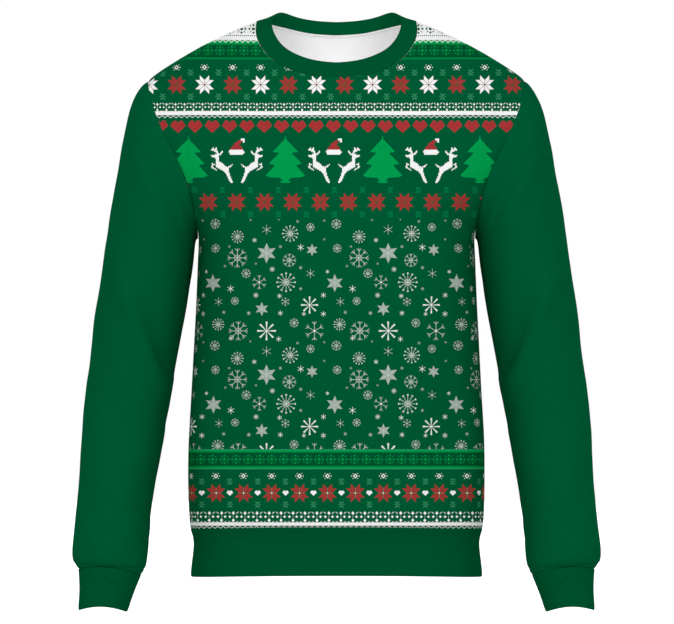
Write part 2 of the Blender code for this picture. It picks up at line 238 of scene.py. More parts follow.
def diamond(x, y, reach):
    """Square that stands on its corner."""
    return reach - (abs(x) + abs(y))


def disc(x, y, radius):
    """Round dot."""
    return radius - (x * x + y * y).math("SQRT")


def petal_star(x, y, reach, seam=0.5):
    """Star of eight petals, parted by thin seams."""
    x, y = abs(x), abs(y)
    far, near = x | y, x & y
    petals = reach / 2 - (near | far - near)
    seams = (near & (far - near) * 0.7) - seam / 2
    return petals & seams


def heart(x, y, half):
    """Heart with straight sides, as it is knitted. Its half width gives its size."""
    x = abs(x)
    lower = 0.75 * half - y - x * 0.93
    notch = y + 0.52 * half + x * 1.15
    shoulder = y + 0.81 * half - (x - 0.56 * half) * 1.57
    return lower & notch & shoulder & (y + 0.81 * half)


def dotted_flower(x, y):
    """Small ring that stands on its corner, with dots round it."""
    x, y = abs(x), abs(y)
    ring = 0.8 - abs(x + y - 2.3)
    slant = diamond(x - 3.0, y - 3.1, 0.65)
    dash = (0.35 - abs(x - 4.7)) & (0.8 - y)
    return ring | slant | dash


def barred_flake(x, y):
    """Small flake: a tall ring round a dot, four steep arms and a dash on each side."""
    x, y = abs(x), abs(y)
    ring = 0.42 - abs((x | y * 0.55) - 1.3)
    arms = (0.5 - abs(x - 0.9 - y * 0.42) * 0.9) & (y - 1.8) & (4.1 - y)
    dash = (0.5 - y) & (1.0 - abs(x - 3.2))
    return ring | arms | dash | diamond(x, y, 0.6)


def toothed(u, v, top, bottom):
    """Straight band whose two edges have small teeth."""
    teeth = band(v, top, bottom) & (nearest(u, TEETH_PITCH, 0.0) - 0.6)
    return band(v, top + 1.4, bottom - 1.4) | teeth


def garland(u, v, pitch, middle, row):
    """Row of small flowers: a square with a diamond on each side and strokes at its corners."""
    x, y = nearest(u, pitch, middle), abs(v - row)
    core = 1.7 - (x | y)
    sides = diamond(x - 4.8, y, 1.7) | diamond(x, y - 4.7, 1.7)
    strokes = (0.5 - abs(x - y) * 0.7) & (1.2 - abs(x + y - 7.3) * 0.7)
    return core | sides | strokes


def lace(u, v, pitch, middle, first_row, step):
    """Three rows of small diamonds that make a net."""
    x = nearest(u, pitch, middle)
    between = pitch / 2 - x
    last_row = first_row + 2 * step
    half = pitch * 0.13
    knots = diamond(x, (v - first_row) * 0.78, half) | diamond(x, (v - last_row) * 0.78, half)
    pairs = diamond(between - pitch * 0.2, v - (first_row + step), half * 0.92)
    slope = pitch * 0.16
    roofs = 0.42 - abs(v - (first_row - 2.2) - between * 0.75) * 0.8
    roofs &= slope * 0.55 - abs(between - slope)
    feet = 0.42 - abs(v - (last_row + 1.6) + (slope - between) * 0.5)
    feet &= 0.9 - abs(between - slope)
    posts = diamond(x, v - (first_row + step), 0.6)
    return knots | pairs | roofs | feet | posts


# The fir tree: distances down from its tip and half widths, in millimetres. Below 0 it has no width.
FIR_HEIGHT = 59.4
FIR_WIDEST = 25.0
FIR_BASE = 2.0  # added to each half width, because the marks along it hold nothing below 0
FIR = (
    (0.0, -2.0), (0.4, 0.5), (4.6, 0.9), (20.3, 15.8), (20.8, 14.6), (21.4, 8.2), (22.6, 8.4),
    (34.6, 20.2), (35.4, 19.6), (36.8, 13.8), (38.6, 14.2), (49.8, 24.6), (50.8, 23.0), (52.2, 18.6),
    (52.8, 6.2), (54.8, 5.9), (55.6, 3.2), (56.6, 3.4), (57.2, 6.2), (59.0, 6.0), (59.4, -2.0),
)


def along_marks(share, marks, interpolation):
    """Four numbers that follow marks, each a share of the way and four values from 0 to 1."""
    node = add(share.tree, "ValToRGB", {0: share})
    node.color_ramp.interpolation = interpolation
    stops = node.color_ramp.elements
    stops.remove(stops[1])
    for number, (place, values) in enumerate(marks):
        stop = stops.new(place) if number else stops[0]
        stop.color = values
    parts = add(share.tree, "SeparateColor", {0: node.outputs[0]}).outputs
    return [Field(share.tree, socket) for socket in (*parts[:3], node.outputs[1])]


def fir(x, y):
    """Fir tree of three tiers on a foot. x is the distance from its middle line, y from its tip."""
    room = FIR_WIDEST + FIR_BASE
    marks = [(down / FIR_HEIGHT, [(half + FIR_BASE) / room] * 4) for down, half in FIR]
    return along_marks(y / FIR_HEIGHT, marks, "LINEAR")[3] * room - FIR_BASE - x


# Charts of the knitted figures: a mark for each stitch. The deer's tail is on the left.
DEER = (
    "................#..#..",
    "................##.##.",
    "................######",
    "..........#....####...",
    "..........##...##.....",
    "...........##.##......",
    "............######....",
    "..............########",
    "..............#######.",
    "..............####....",
    "..............###.....",
    "..............###.....",
    "..............###.....",
    "............#####.....",
    "..........#######...#.",
    "#........########.###.",
    ".##.....#########...#.",
    "..###.###########...##",
    "....###########....##.",
    "....#########....##...",
    "....#######.....#.....",
    "....#####.............",
    "....####..............",
    "...####...............",
    "...###................",
    "...###................",
    "..###.................",
    "..###.................",
    ".###..................",
    ".###..................",
    "###...................",
    "##....................",
)
CAP = (
    "............wwww",
    "............wwww",
    ".........rrrrrww",
    "........rrrr..ww",
    "......rrrrrr....",
    ".....rrrrrr.....",
    ".....rrrrr......",
    "....rrrrrrrr....",
    "...rrrrrrrrrr...",
    "..rrrrrrrrrrr...",
    ".rrrrrrrrrrrrr..",
    ".wwwwwwwwwwwww..",
    "wwwwwwwwwwwwwww.",
    "wwwwwwwwwwwwwwww",
    ".wwwwwwwwwwwwww.",
    ".wwwwwwwwwwwww..",
)


def charted(x, y, chart, mark, wide, high):
    """Stitches of a chart that have a mark, each of this width and height.

    x runs from the chart's left and y down from its top. A stop of the ramp holds one row
    of the chart as a binary fraction, a digit for each stitch.
    """
    rows, columns = len(chart), len(chart[0])
    marks = []
    for row, stitches in enumerate(chart):
        number = int("".join("1" if stitch == mark else "0" for stitch in stitches), 2)
        marks.append((row / rows, [(number + 0.5) / 2**columns] * 4))
    digits = along_marks(y / (rows * high), marks, "CONSTANT")[3]
    column = (x / wide).math("FLOOR")
    power = Field(x.tree, add(x.tree, "Math", {0: 2.0, 1: column + 1}, operation="POWER").outputs[0])
    digit = (digits * power).math("FLOOR").math("MODULO", 2.0)
    inside = band(x, 0.0, columns * wide) & band(y, 0.0, rows * high)
    return digit * inked(inside - 0.1, 0.1) - 0.5


# Kinds of snowflake. From these two numbers up a kind has eight and twelve arms, and below them six.
EIGHT_ARMS, TWELVE_ARMS = 0.55, 0.85
FORK, LEAF, PLAIN, RING, DROP, SUN = 0.1, 0.3, 0.5, 0.6, 0.75, 0.9
STAR, DOT = 0.2, 0.8  # kinds of the small ones, which all have six

# Charts of one repeat of the snow, a row of five cells at a time. Each cell has one snowflake: its
# place across and down from the cell's middle and its reach, in millimetres, and its kind. The
# small ones lie round the corners of the cells of the large ones.
SNOW_CELL = 30.4
SNOW_ACROSS = 5
SNOW_CORNER = (-166.4, 247.5)
LARGE_SNOW = (
    (-1, -9, 6.0, RING), (-3, 7, 7.8, SUN), (3, -2, 6.0, PLAIN), (2, 3, 10.0, SUN), (-3, -5, 5.0, RING),
    (0, -9, 5.2, RING), (-3, 3, 12.0, RING), (3, -3, 12.2, LEAF), (1, 6, 8.2, RING), (-1, -7, 7.2, LEAF),
    (-3, 4, 10.6, LEAF), (8, -8, 5.6, RING), (-6, 3, 8.6, FORK), (-3, 3, 12.0, SUN), (-3, -8, 5.6, PLAIN),
    (4, -3, 5.2, PLAIN), (-6, -4, 4.8, RING), (-3, 6, 8.2, LEAF), (-4, -3, 5.0, FORK), (-4, 1, 10.6, DROP),
    (3, -5, 7.4, SUN), (-2, 3, 11.8, RING), (3, 3, 11.6, DROP), (7, -7, 5.4, RING), (2, 3, 11.6, FORK),
)
SMALL_SNOW = (
    (-1, 2, 1.9, DOT), (4, -3, 2.8, STAR), (-2, 1, 1.8, DOT), (3, -2, 3.2, STAR), (-4, 3, 2.2, DOT),
    (-1, -5, 1.9, DOT), (2, 4, 2.0, DOT), (3, -4, 2.8, STAR), (5, 4, 2.4, DOT), (0, 5, 4.2, STAR),
    (3, 5, 2.2, STAR), (-3, -2, 2.0, DOT), (5, -5, 1.9, DOT), (-5, 2, 3.7, DOT), (0, 0, 2.5, DOT),
    (-2, 4, 3.3, STAR), (4, -4, 4.4, STAR), (5, 4, 3.7, DOT), (4, 5, 3.0, STAR), (0, -4, 2.4, DOT),
    (-2, -3, 3.3, STAR), (-5, -5, 2.5, DOT), (-4, -4, 2.8, DOT), (5, -4, 3.1, STAR), (4, -3, 2.4, STAR),
)
SNOW_RANGE = 16.0  # no place or reach in the charts is further from 0
HALF_INK = -0.03  # a figure that is cut to this height takes about half of the ink


def snow_cell(u, v, chart):
    """Place from the middle of the cell's snowflake, its reach and its kind."""
    column, row = u / SNOW_CELL, v / SNOW_CELL
    number = column.math("FLOOR").math("FLOORED_MODULO", SNOW_ACROSS)
    number += row.math("FLOOR").math("FLOORED_MODULO", SNOW_ACROSS) * SNOW_ACROSS
    marks = []
    for cell, (across, down, reach, kind) in enumerate(chart):
        places = [0.5 + across / SNOW_RANGE / 2, 0.5 + down / SNOW_RANGE / 2]
        marks.append((cell / len(chart), [*places, reach / SNOW_RANGE, kind]))
    across, down, reach, kind = along_marks((number + 0.5) / len(chart), marks, "CONSTANT")
    x = (column.math("FRACT") - 0.5) * SNOW_CELL - (across - 0.5) * (2 * SNOW_RANGE)
    y = (row.math("FRACT") - 0.5) * SNOW_CELL - (down - 0.5) * (2 * SNOW_RANGE)
    return x, y, reach * SNOW_RANGE, kind


def from_arms(x, y, kind):
    """Distances along and beside the nearest arm of a flake of 6, 8 or 12 arms, and from its middle."""
    arms = kind.math("GREATER_THAN", EIGHT_ARMS) * 2.0 + kind.math("GREATER_THAN", TWELVE_ARMS) * 4.0 + 6.0
    angle = x.math("ARCTAN2", y).math("PINGPONG", arms.math("POWER", -1.0) * math.pi)
    far = (x * x + y * y).math("SQRT")
    return far * angle.math("COSINE"), far * angle.math("SINE"), far


def snowflake(along, beside, far, reach, kind):
    """One of the six kinds of snowflake, from the distances along and beside its nearest arm."""
    out, off, away = along / reach, beside / reach, far / reach
    half = reach * 0.012 + 0.06
    inside = (1.0 - out) * reach
    arm = (half - beside) & inside
    forks = (half - abs(off - (out - 0.72)) * reach * 0.7) & inside & (0.24 - off) * reach
    ring = half - abs(away - 0.3) * reach
    leaf = ((out & (1.0 - out) * 0.9) * 0.5 - off) * reach & HALF_INK
    drop = (out * 0.09 + 0.01 - off) * reach & inside
    bead = (0.055 - abs(out - 0.94)) * reach & (0.085 - off) * reach
    seed = (0.13 - away) * reach
    kinds = (
        (FORK, arm | forks | seed),
        (LEAF, arm | leaf),
        (PLAIN, arm | seed),
        (RING, arm | forks | ring),
        (DROP, drop | seed),
    )
    figure = arm | bead | ring
    for number, shape in reversed(kinds):
        chosen = kind.math("LESS_THAN", number + 0.05)
        figure = shape * chosen + figure * (1.0 - chosen)
    return figure


def snowfall(u, v):
    """Ink of the snow: large snowflakes of six kinds, and small stars and dots between them."""
    u, v = u - SNOW_CORNER[0], v - SNOW_CORNER[1]
    x, y, reach, kind = snow_cell(u, v, LARGE_SNOW)
    large = snowflake(*from_arms(x, y, kind), reach, kind)
    x, y, reach, kind = snow_cell(u + SNOW_CELL / 2, v + SNOW_CELL / 2, SMALL_SNOW)
    along, beside, far = from_arms(x, y, kind * 0.5)
    star = ((0.3 - beside) & (reach - along)) | (reach * 0.3 - far)
    dot = (reach - far) * 0.13 - 0.3
    dotted = kind.math("GREATER_THAN", 0.5)
    return inked(large, 0.6) | inked(star * (1.0 - dotted) + dot * dotted, 0.6)


# Rows lie in millimetres down from the height of the neck. One of the figures that repeat in a row is
# at its "middle", in millimetres across from the middle of the cloth. Each function lists figures with
# their inks in the order that they are printed.
STAR_PITCH = 35.0
STAR_REACH = 11.55
CHEST_STARS = 79.6
HEM_STARS = 590.0
HEM_STAR_PITCH = 34.9
TREE_PITCH = 121.5
CAP_STITCH = (1.25, 1.28)
SNOW_TOP, SNOW_BOTTOM = 247.5, 535.5


def shoulder_rows(u, v, ink):
    """White yoke with green flowers, a zigzag edge and the first garland band."""
    edge = zigzag_line(u, top=23.6, height=3.2)
    dots = diamond(nearest(u, 2.5, 0.0), v - 18.2, 0.95)
    flowers = garland(u, v, pitch=14.75, middle=-0.75, row=9.6) | dots
    return [
        (47.6 - v, ink.bright),
        (toothed(u, v, top=28.8, bottom=47.0), ink.band),
        (garland(u, v, pitch=14.87, middle=3.1, row=36.9), ink.garland),
        ((23.75 - v) | (0.55 - abs(v - edge)), ink.white),
        (flowers & (22.0 - v), ink.ground),
    ]


def star_row(u, v, ink, pitch, middle, row, flake_drop, flake_ink, flower_row=None):
    """Row of red stars with small flakes above and below the gaps between them."""
    x = repeated(u, pitch, middle)
    between = repeated(u, pitch, middle + pitch / 2)
    flakes = barred_flake(between, abs(v - row) - flake_drop)
    rows = [(flakes, flake_ink), (petal_star(x, v - row, STAR_REACH), ink.red)]
    if flower_row:
        rows.append((dotted_flower(x, v - flower_row), ink.white))
    return rows


def chest_rows(u, v, ink):
    """Stars in turn white and red, a lace, and a row of hearts."""
    x = repeated(u, 2 * STAR_PITCH, 10.1 + STAR_PITCH)
    edge = zigzag_line(u, top=118.0, height=3.0)
    return [
        *star_row(u, v, ink, STAR_PITCH, 10.1, CHEST_STARS, 15.0, ink.faint, flower_row=58.1),
        (petal_star(x, v - CHEST_STARS, STAR_REACH), ink.white),
        (disc(x, v - CHEST_STARS, 1.0), ink.red),
        (lace(u, v, pitch=11.31, middle=2.2, first_row=104.1, step=3.5), ink.white),
        (band(v, 112.6, 117.5) | (0.42 - abs(v - edge)), ink.white),
        (heart(repeated(u, 21.63, -3.8), v - 132.4, 9.9), ink.red),
    ]


def forest_rows(u, v, ink):
    """Fir trees, with a pair of leaping deer and a cap between each two, over a row of stars."""
    x = repeated(u, TREE_PITCH, -3.1)
    cap = x + 10.1, v - 146.7
    return [
        *star_row(u, v, ink, STAR_PITCH, 14.9, 226.3, 15.3, ink.dim),
        (fir(nearest(u, TREE_PITCH, -63.9), v - 143.2), ink.bright),
        (charted(abs(x) - 5.2, v - 157.7, DEER, "#", 1.24, 1.4), ink.white),
        (charted(*cap, CAP, "r", *CAP_STITCH), ink.red),
        (charted(*cap, CAP, "w", *CAP_STITCH), ink.white),
    ]


def hem_rows(u, v, ink):
    """Second garland band, stars with small hearts between them, and a lace above the hem."""
    edge = zigzag_line(u, top=631.5, height=3.0)
    x, y = nearest(u, HEM_STAR_PITCH, -11.3), abs(v - HEM_STARS)
    seams = (0.3 - (x & y)) & (6.4 - (x | y))
    return [
        (band(v, 535.4, 560.2), ink.bright),
        (toothed(u, v, top=538.3, bottom=557.3), ink.band),
        (garland(u, v, pitch=14.76, middle=7.7, row=547.9), ink.garland),
        (0.45 - abs(abs(v - 547.7) - 12.1), ink.faint),
        *star_row(u, v, ink, HEM_STAR_PITCH, -11.3, HEM_STARS, 14.4, ink.faint, flower_row=568.7),
        (seams, ink.faint),
        (disc(x, y, 0.9), ink.white),
        (heart(repeated(u, HEM_STAR_PITCH, 6.15), v - 590.2, 4.2), ink.white),
        (lace(u, v, pitch=14.97, middle=5.5, first_row=615.1, step=4.5), ink.white),
        (band(v, 626.6, 630.8) | (0.48 - abs(v - edge)), ink.white),
    ]


def winter_print(tree, ink):
    """Colour of the printed cloth."""
    u, v = cloth_place(tree)
    snow = inked(band(v, SNOW_TOP, SNOW_BOTTOM)) * snowfall(u, v)
    colour_here = painted(ink.ground, snow, ink.snow)
    for rows in shoulder_rows, chest_rows, forest_rows, hem_rows:
        for figure, colour_of_ink in rows(u, v, ink):
            colour_here = painted(colour_here, inked(figure), colour_of_ink)
    return colour_here


# ---------------- materials

FLEECE_ROUGHNESS = 0.92
FLEECE_SHEEN = 0.02  # the light that stands in the pile's tips
SHEEN_TINT = "#3FA070"
NAP_GRAIN, CLUMP_GRAIN = 0.9, 4.0  # grain of the nap and of its clumps, in millimetres
MOTTLE_GRAIN, TUFT_GRAIN = 1.6, 2.5  # grain of the colour, and of the nap inside
MOTTLE = (0.86, 1.12)  # darkest and brightest share of the dye
JERSEY_RELIEF, TUFT_RELIEF, RIB_RELIEF = 0.35, 0.5, 0.18  # heights in millimetres
WALE = 1.3  # width of a column of stitches in the jersey, in millimetres, drawn as coarse as it shows
COURSE = 1.0  # height of a stitch
RIB_PITCH = 2.3  # from one rib to the next, in millimetres


def new_material(name):
    """Empty material and its node tree."""
    material = bpy.data.materials.new(name)
    material.use_nodes = True
    material.node_tree.nodes.clear()
    return material, material.node_tree


def speckle(tree, grain, detail=2.0):
    """Uneven pattern from 0 to 1 with a grain of this size in millimetres."""
    place = add(tree, "TexCoord").outputs["Object"]
    settings = {"Vector": place, "Scale": 1000 / grain, "Detail": detail, "Roughness": 0.6}
    return Field(tree, add(tree, "TexNoise", settings).outputs[0])


def shaded(colour_here, share, dark, light):
    """Colour made darker and lighter by a share between two brightnesses."""
    level = share * (light - dark) + dark
    grey = add(share.tree, "CombineColor", {0: level, 1: level, 2: level}).outputs[0]
    mix = add(share.tree, "Mix", {0: 1.0, 6: colour_here, 7: grey}, data_type="RGBA", blend_type="MULTIPLY")
    return mix.outputs[2]


def finish_cloth(tree, colour_here, relief, height, roughness, sheen, tint=SHEEN_TINT):
    """Matt cloth with a relief whose height is in millimetres."""
    bump = add(tree, "Bump", {"Strength": 1.0, "Distance": height * MM, "Height": relief})
    looks = {
        "Base Color": colour_here,
        "Roughness": roughness,
        "Specular IOR Level": 0.0,
        "Sheen Weight": sheen,
        "Sheen Roughness": 0.5,
        "Sheen Tint": linear(tint),
        "Normal": bump.outputs[0],
    }
    shader = add(tree, "BsdfPrincipled", looks)
    add(tree, "OutputMaterial", {0: shader.outputs[0]})


def jersey_relief(tree):
    """Face of fleece-backed jersey: columns of stitches under a short, brushed nap."""
    u, v = cloth_place(tree)
    lean = nearest(u, WALE, 0.0)
    stitch = (v + lean * 1.2).math("PINGPONG", COURSE / 2)
    return lean * 0.5 + stitch * 0.35 + speckle(tree, NAP_GRAIN) * 0.9 + speckle(tree, CLUMP_GRAIN) * 0.5


def fleece_jersey(name, colour_in):
    """Polyester fleece-backed jersey. Matt, and slightly mottled by its nap."""
    material, tree = new_material(name)
    mottled = shaded(colour_in(tree), speckle(tree, MOTTLE_GRAIN), *MOTTLE)
    finish_cloth(tree, mottled, jersey_relief(tree), JERSEY_RELIEF, FLEECE_ROUGHNESS, FLEECE_SHEEN)
    return material


def printed_jersey(ink):
    """The jersey, printed all over."""
    return fleece_jersey("printed_fleece_jersey", lambda tree: winter_print(tree, ink))


def plain_jersey(ink):
    """The same jersey, dyed one green."""
    return fleece_jersey("plain_fleece_jersey", lambda tree: ink.ground)


def brushed_back(ink):
    """White inside of the jersey, brushed to a deep nap that lies in small tufts."""
    material, tree = new_material("brushed_fleece_back")
    tufts = speckle(tree, TUFT_GRAIN, detail=4.0)
    # The white follows the height of the tufts: painted shade in the hollows between them and a painted
    # highlight on their tops.
    white = shaded(ink.inside, tufts, 0.95, 1.02)
    finish_cloth(tree, white, tufts, TUFT_RELIEF, roughness=0.95, sheen=0.3, tint="#FFFFFF")
    return material


def rib_knit(ink):
    """Rib knit of polyester and elastane: narrow ridges that run with the garment."""
    material, tree = new_material("rib_knit")
    u, v = cloth_place(tree)
    ridge = 1.0 - nearest(u, RIB_PITCH, 0.0) / (RIB_PITCH / 2)
    stitch = v.math("PINGPONG", COURSE / 2)
    relief = ridge.math("SMOOTH_MIN", 0.8, 0.4) + stitch * 0.15 + speckle(tree, NAP_GRAIN) * 0.5
    # The green is darker in the grooves between the ridges and lighter on them: painted shade. The speckle
    # adds uneven tone to the yarn.
    ground = shaded(ink.rib, ridge * 0.75 + speckle(tree, MOTTLE_GRAIN) * 0.5, 0.92, 1.04)
    finish_cloth(tree, ground, relief, RIB_RELIEF, roughness=0.9, sheen=FLEECE_SHEEN)
    return material


# ---------------- cloth from its solid

SHOULDER_TIP = Vector((236 * MM, 0.0, -73 * MM))
SHOULDER_REACH = 55 * MM  # how far round it the cloth is evened out
TIP_ROUNDS = 6  # how often
JOIN_ANGLE = math.radians(60)  # two triangles that turn by less than this make one face
RIM_ANGLE = math.radians(60)  # the wall's skins turn by more than this into its rims
MERGE = 0.02 * MM
ALLOWANCE = 2.6 * MM  # width of cloth that is turned in at a seam
SEAM_LEAN = 0.4  # how far it leans over the seam, as a share of that width
NECK_REACH = 130 * MM  # the neck's edge lies within this distance of the middle
BACK_SLOT, FACE_SLOT = 1, 3  # material slots of cloth that is turned in
BROAD_WAVES, SMALL_WAVES = 14.0, 38.0  # soft waves of the cloth, for each metre
SMALL_SHARE = 0.45  # height of the small ones


def table(names, *rows):
    """Columns by name, in metres, from rows in millimetres."""
    return dict(zip(names.split(), np.array(rows, float).T * MM))


def quads_of(node_name):
    """Copy of a solid's mesh, its loose triangles merged to a surface of four-sided faces."""
    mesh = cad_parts[node_name].data.copy()
    mesh.name = node_name + "_cloth"
    mesh.materials.clear()
    while mesh.uv_layers:
        mesh.uv_layers.remove(mesh.uv_layers[0])
    work = bmesh.new()
    work.from_mesh(mesh)
    bmesh.ops.remove_doubles(work, verts=work.verts, dist=MERGE)
    bmesh.ops.join_triangles(
        work, faces=work.faces, angle_face_threshold=JOIN_ANGLE, angle_shape_threshold=math.pi
    )
    return mesh, work


def keep_outer_skin(work, outward):
    """Delete the inner skin and the rims of a wall. Its outer skin is what reaches furthest outward."""
    seed = max(work.faces, key=lambda face: face.calc_center_median().dot(outward))
    skin = {seed}
    edge_faces = [seed]
    while edge_faces:
        for edge in edge_faces.pop().edges:
            for face in edge.link_faces:
                if face not in skin and edge.calc_face_angle(math.pi) < RIM_ANGLE:
                    skin.add(face)
                    edge_faces.append(face)
    bmesh.ops.delete(work, geom=[face for face in work.faces if face not in skin], context="FACES")


def smooth_shoulder_tips(work):
    """Even out the cloth beside the corners where a panel, the other panel and a sleeve meet."""
    close = [
        vert
        for vert in work.verts
        if not vert.is_boundary
        and (Vector((abs(vert.co.x), 0.0, vert.co.z)) - SHOULDER_TIP).length < SHOULDER_REACH
    ]
    axes = {"use_axis_x": True, "use_axis_y": True, "use_axis_z": True}
    for _ in range(TIP_ROUNDS):
        bmesh.ops.smooth_vert(work, verts=close, factor=0.5, **axes)


def new_piece(context, mesh, work, levels):
    """Object of the finished surface, divided smoothly."""
    work.to_mesh(mesh)
    work.free()
    piece = bpy.data.objects.new(mesh.name, mesh)
    context.scene.collection.objects.link(piece)
    divide = piece.modifiers.new("Divide", "SUBSURF")
    divide.levels = divide.render_levels = levels
    divide.boundary_smooth = "PRESERVE_CORNERS"
    apply_all(context, piece)
    return piece


def turn_in_edges(mesh):
    """Turn the cloth's sewn edges in by a seam allowance, so that no light passes between two pieces."""
    work = bmesh.new()
    work.from_mesh(mesh)
    rim = [edge for edge in work.edges if edge.is_boundary]
    inward = {}
    for vert in {vert for edge in rim for vert in edge.verts}:
        beside = [vert.co - edge.other_vert(vert).co for edge in vert.link_edges if not edge.is_boundary]
        lean = sum(beside, Vector()).normalized() * SEAM_LEAN
        inward[vert] = (lean - vert.normal) * ALLOWANCE
    grown = bmesh.ops.extrude_edge_only(work, edges=rim)["geom"]
    for item in grown:
        if isinstance(item, bmesh.types.BMVert):
            beside = [edge.other_vert(item) for edge in item.link_edges]
            item.co += inward[next(vert for vert in beside if vert in inward)]
        elif isinstance(item, bmesh.types.BMFace):
            high = item.verts[0].co.z > -NECK_REACH
            at_neck = high and all(abs(vert.co.x) < NECK_REACH for vert in item.verts)
            item.material_index = BACK_SLOT if at_neck else FACE_SLOT
    work.to_mesh(mesh)
    work.free()


def apply_all(context, piece):
    """Apply the piece's modifiers."""
    bpy.ops.object.select_all(action="DESELECT")
    piece.select_set(True)
    context.view_layer.objects.active = piece
    for modifier in list(piece.modifiers):
        bpy.ops.object.modifier_apply(modifier=modifier.name)


def points_and_normals(mesh):
    """Points of a mesh and their normals, as rows."""
    found = []
    for collection, attribute in (mesh.vertices, "co"), (mesh.vertex_normals, "vector"):
        values = np.empty(len(collection) * 3, np.float32)
        collection.foreach_get(attribute, values)
        found.append(values.reshape(-1, 3).astype(float))
    return found


def edge_distance(mesh, points):
    """Distance of each point from the nearest edge of the surface."""
    uses = np.bincount([loop.edge_index for loop in mesh.loops], minlength=len(mesh.edges))
    ends = np.array([edge.vertices[:] for edge in mesh.edges])[uses == 1]
    rim = np.unique(ends)
    tree = kdtree.KDTree(len(rim))
    for place in rim:
        tree.insert(points[place], int(place))
    tree.balance()
    return np.array([tree.find(point)[2] for point in points])


def fade(distance, width):
    """Share that falls from 1 at a line to 0 well past this width beside it."""
    return np.exp(-((distance / width) ** 2))


def crease_rise(points, creases):
    """Height of creases at each point: a ridge above 0, a trough below, uneven along its length."""
    rise = np.zeros(len(points))
    for x1, z1, x2, z2, bend, width, height in zip(*creases.values()):
        way = np.array([x2 - x1, z2 - z1])
        run = np.linalg.norm(way)
        way = way / run
        local = points[:, [0, 2]] - (x1, z1)
        t = np.clip(local @ way / run, 0, 1)
        off = local @ np.array([-way[1], way[0]]) - bend * 4 * t * (1 - t)
        past = np.abs(local @ way - t * run)
        spread = width * (0.7 + 0.5 * t)
        rise += height * np.sin(math.pi * t) ** 0.6 * fade(off, spread) * fade(past, spread)
    return rise


def waves(points, height, start):
    """Soft unevenness of cloth that hangs free, read from the noise at this start."""
    shift = Vector((start, start * 0.7, 0.0))
    places = [Vector(point) + shift for point in points]
    broad = np.array([noise.noise(place * BROAD_WAVES) for place in places])
    small = np.array([noise.noise(place * SMALL_WAVES) for place in places])
    return height * (broad + SMALL_SHARE * small)


def gathers(angle, away, reach, height):
    """Small uneven puckers where wide cloth is sewn to a narrow rib: 13 broad and 29 narrow a turn."""
    ripple = np.sin(13 * angle + 1.4 * np.sin(2 * angle)) + 0.6 * np.sin(29 * angle + 2 * np.sin(3 * angle))
    return height * ripple * np.exp(-np.maximum(away, 0) / reach)


def move_points(mesh, points):
    """Give the mesh these points."""
    mesh.vertices.foreach_set("co", points.astype(np.float32).ravel())
    mesh.update()


def unwrap(mesh, places, turn=None):
    """UV map in millimetres. Round a tube, a face that crosses the seam runs on past a full turn."""
    loops = np.array([loop.vertex_index for loop in mesh.loops])
    uv = places[loops]
    if turn:
        for face in mesh.polygons:
            span = slice(face.loop_start, face.loop_start + face.loop_total)
            across = uv[span, 0]
            uv[span, 0] = np.where(across.max() - across > turn / 2, across + turn, across)
    layer = mesh.uv_layers.new(name=UV_NAME)
    layer.data.foreach_set("uv", uv.astype(np.float32).ravel())


def hand_over(piece, node_name):
    piece.data.polygons.foreach_set("use_smooth", [True] * len(piece.data.polygons))
    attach(piece, "root")
    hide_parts(node_name)


def surface(mesh):
    """Area of all faces."""
    return sum(face.area for face in mesh.polygons)


def sew_jersey(context, piece, face, back):
    """Turn in the cloth's edges and give it its thickness and its two sides. Returns the area that shows.

    The wall's inside takes the next material slot. The edges that are turned in show the back of the
    cloth at the neck, and its face elsewhere.
    """
    area = surface(piece.data)
    turn_in_edges(piece.data)
    for material in (face, back, back, face, face):
        piece.data.materials.append(material)
    solid = piece.modifiers.new("Wall", "SOLIDIFY")
    solid.thickness = context.scene.sweater_cloth.fleece_wall
    solid.offset = -1
    solid.use_even_offset = True
    solid.material_offset = solid.material_offset_rim = 1
    apply_all(context, piece)
    return area


# ---------------- front and back

# How far the cloth has gone back from the front, or from the back, before it counts as the side
SIDE_SHARE = 0.5
SHOULDER_SHARE = 0.3  # the same at the shoulders
SIDE_STRETCH = 0.45  # share of that distance which the print gains in width
FRONT_DEPTH = (46.0, 120.0)  # millimetres at the neck and from CHEST down
BACK_DEPTH = (61.0, 114.0)
CHEST = -245.0
ARMPIT = -275.0
SHOULDER_WAY = (0.47, 0.88)  # way of that gain at the shoulders, across and up
PRINT_SWELL = 12000.0  # the print grows by 1% for each 120 mm that the cloth stands forward
MIDDLE = -363.7  # height that it grows from
PANEL_FADE = 10.0 * MM  # creases and waves fade out this near to an edge
PANEL_GATHERS = (22.0 * MM, 0.35 * MM)  # reach above the hem, and height
PANEL_WAVES = 3.0

CREASE_NAMES = "x1 z1 x2 z2 bend width height"
NO_CREASES = {name: () for name in CREASE_NAMES.split()}
FRONT_CREASES = table(
    CREASE_NAMES,
    (188, -136, 184, -205, 1, 4, -1.6),
    (182, -268, 128, -232, 4, 7, -1.6),
    (178, -284, 120, -262, 5, 8, -1.1),
    (176, -300, 140, -312, -3, 7, 0.9),
    (174, -250, 150, -200, -5, 8, 1.0),
    (150, -560, 142, -630, 3, 10, -1.0),
    (118, -540, 112, -632, -3, 12, 0.9),
    (70, -566, 74, -632, 3, 12, -0.8),
    (26, -580, 22, -632, 0, 13, 0.7),
    (166, -380, 158, -520, 6, 12, -0.9),
    (210, -110, 178, -150, 4, 9, -1.2),
)
BACK_CREASES = table(
    CREASE_NAMES,
    (182, -268, 120, -214, 6, 8, -1.8),
    (178, -290, 128, -270, 5, 8, -1.2),
    (176, -306, 132, -330, -4, 9, 1.0),
    (150, -548, 138, -630, 4, 11, -1.1),
    (104, -556, 98, -632, -3, 13, 1.0),
    (54, -570, 60, -632, 3, 12, -0.9),
    (12, -560, 6, -632, 0, 14, 0.8),
    (60, -90, 20, -150, 8, 14, -1.0),
    (162, -390, 150, -500, 6, 13, -1.0),
    (206, -120, 170, -170, 5, 10, -1.2),
)


